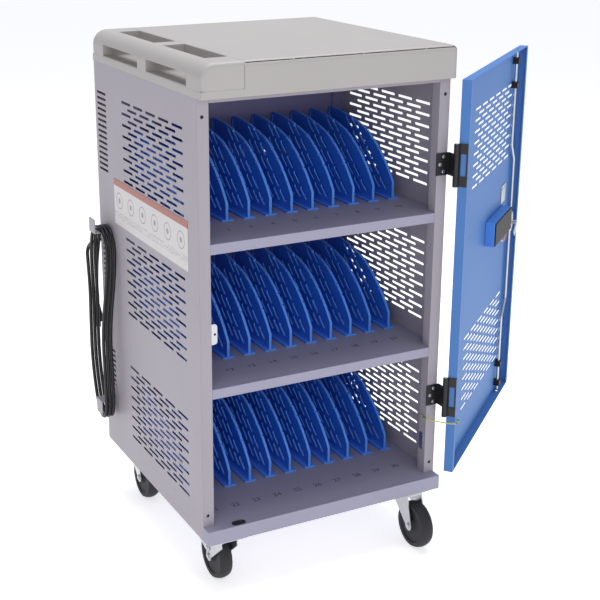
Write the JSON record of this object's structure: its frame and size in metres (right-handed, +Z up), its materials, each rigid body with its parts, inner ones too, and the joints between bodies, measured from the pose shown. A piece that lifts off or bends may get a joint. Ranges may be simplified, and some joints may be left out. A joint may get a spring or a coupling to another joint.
{
  "type": "charging cart",
  "caption": "Upright steel cart on casters with numbered device slots on shelves, a perforated lockable front door, a moulded push handle and a power cord wound on side hooks.",
  "frame": {"origin": "on the floor below the middle of the cabinet", "axes": "+Z up, +Y from the front of the cabinet to its rear, +X to the right seen from the front"},
  "size_m": [1.0296, 0.6913, 1.0813],
  "materials": {
    "cabinet_paint": "fine textured powder coat, warm grey",
    "door_paint": "fine textured powder coat, blue",
    "divider_plastic": "moulded blue plastic, satin",
    "cover_plastic": "moulded light grey plastic, satin",
    "zinc": "bright zinc plate",
    "hinge_black": "black powder coat",
    "black_plastic": "moulded black plastic",
    "lock_grey": "dark grey moulded plastic",
    "lock_blue": "blue moulded housing",
    "lock_chrome": "polished chrome plate",
    "tyre_rubber": "solid dark tread",
    "cord_vinyl": "black flexible vinyl",
    "tag_film": "printed white film, bare",
    "plate_film": null,
    "earth_vinyl": "yellow and green vinyl"
  },
  "bodies": {
    "cabinet": {"left_side_panel": "cabinet_paint", "right_side_panel": "cabinet_paint", "left_front_post": "cabinet_paint", "right_front_post": "cabinet_paint", "rear_posts": "cabinet_paint", "base_tray": "cabinet_paint", "caster_rails": "cabinet_paint", "middle_shelf": "cabinet_paint", "upper_shelf": "cabinet_paint", "inner_back_panel": "cabinet_paint", "ceiling_panel": "cabinet_paint", "top_cover": "cover_plastic", "handle_moulding": "cover_plastic", "lower_dividers": "divider_plastic", "middle_dividers": "divider_plastic", "upper_dividers": "divider_plastic", "strike_plate": "zinc", "catch_plate": "zinc", "label_plate": "plate_film", "cord_hooks": "cabinet_paint", "cabinet_hinge_leaves": "hinge_black", "hinge_pins": "zinc", "hinge_screws": "zinc", "rear_hinge_post_leaves": "zinc", "power_strips": "black_plastic", "supply_box": "black_plastic", "caster_plates": "zinc", "cord_gland": "black_plastic", "cord_lead": "cord_vinyl", "cord_hank": "cord_vinyl", "cord_tail": "cord_vinyl", "plug": "black_plastic", "cord_tag": "tag_film", "earth_wire": "earth_vinyl"},
    "front_door": {"door_shell": "door_paint", "door_hinge_leaves": "hinge_black", "hinge_backing_plates": "zinc", "lock_housing": "lock_blue", "lock_cover": "lock_grey", "lock_bracket": "zinc", "rod_guides": "lock_grey", "lock_escutcheon": "lock_chrome"},
    "lock": {"lock_cam": "zinc", "lock_handle": "lock_chrome"},
    "upper_rod": {"upper_lock_rod": "zinc"},
    "lower_rod": {"lower_lock_rod": "zinc"},
    "rear_door": {"rear_door": "cabinet_paint", "rear_hinge_door_leaves": "zinc"},
    "rear_lock": {"rear_lock_barrel": "lock_chrome"},
    "rocker": {"rocker_switch": "black_plastic"},
    "front_left_swivel": {"front_left_fork": "zinc"},
    "front_left_rolling": {"front_left_wheel": "tyre_rubber"},
    "front_left_pedal": {"front_left_brake": "zinc"},
    "front_right_swivel": {"front_right_fork": "zinc"},
    "front_right_rolling": {"front_right_wheel": "tyre_rubber"},
    "rear_left_swivel": {"rear_left_fork": "zinc"},
    "rear_left_rolling": {"rear_left_wheel": "tyre_rubber"},
    "rear_right_swivel": {"rear_right_fork": "zinc"},
    "rear_right_rolling": {"rear_right_wheel": "tyre_rubber"},
    "rear_right_pedal": {"rear_right_brake": "zinc"}
  },
  "joints": [
    {"name": "front_door_hinge", "type": "hinge", "parent": "cabinet", "child": "front_door", "pos_m": [0.2795, -0.2967, 0.5978], "axis": [0, 0, 1], "range_deg": [-220.2, 40], "deforming": ["earth_wire"]},
    {"name": "lock_turn", "type": "hinge", "parent": "front_door", "child": "lock", "pos_m": [0.6614, 0.02603, 0.5981], "axis": [0.6455, -0.7638, 0], "range_deg": [0, 90]},
    {"name": "upper_rod_slide", "type": "slide", "parent": "front_door", "child": "upper_rod", "axis": [0, 0, 1], "range_m": [0, 0.018]},
    {"name": "lower_rod_slide", "type": "slide", "parent": "front_door", "child": "lower_rod", "axis": [0, 0, -1], "range_m": [0, 0.018]},
    {"name": "rear_door_hinge", "type": "hinge", "parent": "cabinet", "child": "rear_door", "pos_m": [0.2395, 0.2765, 0.5857], "axis": [0, 0, 1], "range_deg": [-115, 0]},
    {"name": "rear_lock_turn", "type": "hinge", "parent": "rear_door", "child": "rear_lock", "pos_m": [-0.212, 0.2715, 0.5981], "axis": [0, 1, 0], "range_deg": [0, 90]},
    {"name": "rocker_tilt", "type": "hinge", "parent": "cabinet", "child": "rocker", "pos_m": [-0.097, 0.1997, 0.1835], "axis": [1, 0, 0], "range_deg": [-8, 8]},
    {"name": "front_left_swivel_turn", "type": "hinge", "parent": "cabinet", "child": "front_left_swivel", "pos_m": [-0.219, -0.2535, 0.1172], "axis": [0, 0, 1], "continuous": true},
    {"name": "front_left_wheel_turn", "type": "hinge", "parent": "front_left_swivel", "child": "front_left_rolling", "pos_m": [-0.219, -0.2125, 0.0508], "axis": [1, 0, 0], "continuous": true},
    {"name": "front_left_brake_press", "type": "hinge", "parent": "front_left_swivel", "child": "front_left_pedal", "pos_m": [-0.219, -0.2125, 0.0708], "axis": [-1, 0, 0], "range_deg": [0, 10]},
    {"name": "front_right_swivel_turn", "type": "hinge", "parent": "cabinet", "child": "front_right_swivel", "pos_m": [0.219, -0.2535, 0.1172], "axis": [0, 0, 1], "continuous": true},
    {"name": "front_right_wheel_turn", "type": "hinge", "parent": "front_right_swivel", "child": "front_right_rolling", "pos_m": [0.219, -0.2945, 0.0508], "axis": [1, 0, 0], "continuous": true},
    {"name": "rear_left_swivel_turn", "type": "hinge", "parent": "cabinet", "child": "rear_left_swivel", "pos_m": [-0.219, 0.2195, 0.1172], "axis": [0, 0, 1], "continuous": true},
    {"name": "rear_left_wheel_turn", "type": "hinge", "parent": "rear_left_swivel", "child": "rear_left_rolling", "pos_m": [-0.219, 0.1785, 0.0508], "axis": [1, 0, 0], "continuous": true},
    {"name": "rear_right_swivel_turn", "type": "hinge", "parent": "cabinet", "child": "rear_right_swivel", "pos_m": [0.219, 0.2195, 0.1172], "axis": [0, 0, 1], "continuous": true},
    {"name": "rear_right_wheel_turn", "type": "hinge", "parent": "rear_right_swivel", "child": "rear_right_rolling", "pos_m": [0.219, 0.2605, 0.0508], "axis": [1, 0, 0], "continuous": true},
    {"name": "rear_right_brake_press", "type": "hinge", "parent": "rear_right_swivel", "child": "rear_right_pedal", "pos_m": [0.219, 0.2605, 0.0708], "axis": [-1, 0, 0], "range_deg": [0, 10]}
  ],
  "couplings": [
    {"joint": "upper_rod_slide", "follows": "lock_turn", "m_per_rad": 0.011459},
    {"joint": "lower_rod_slide", "follows": "lock_turn", "m_per_rad": 0.011459}
  ]
}
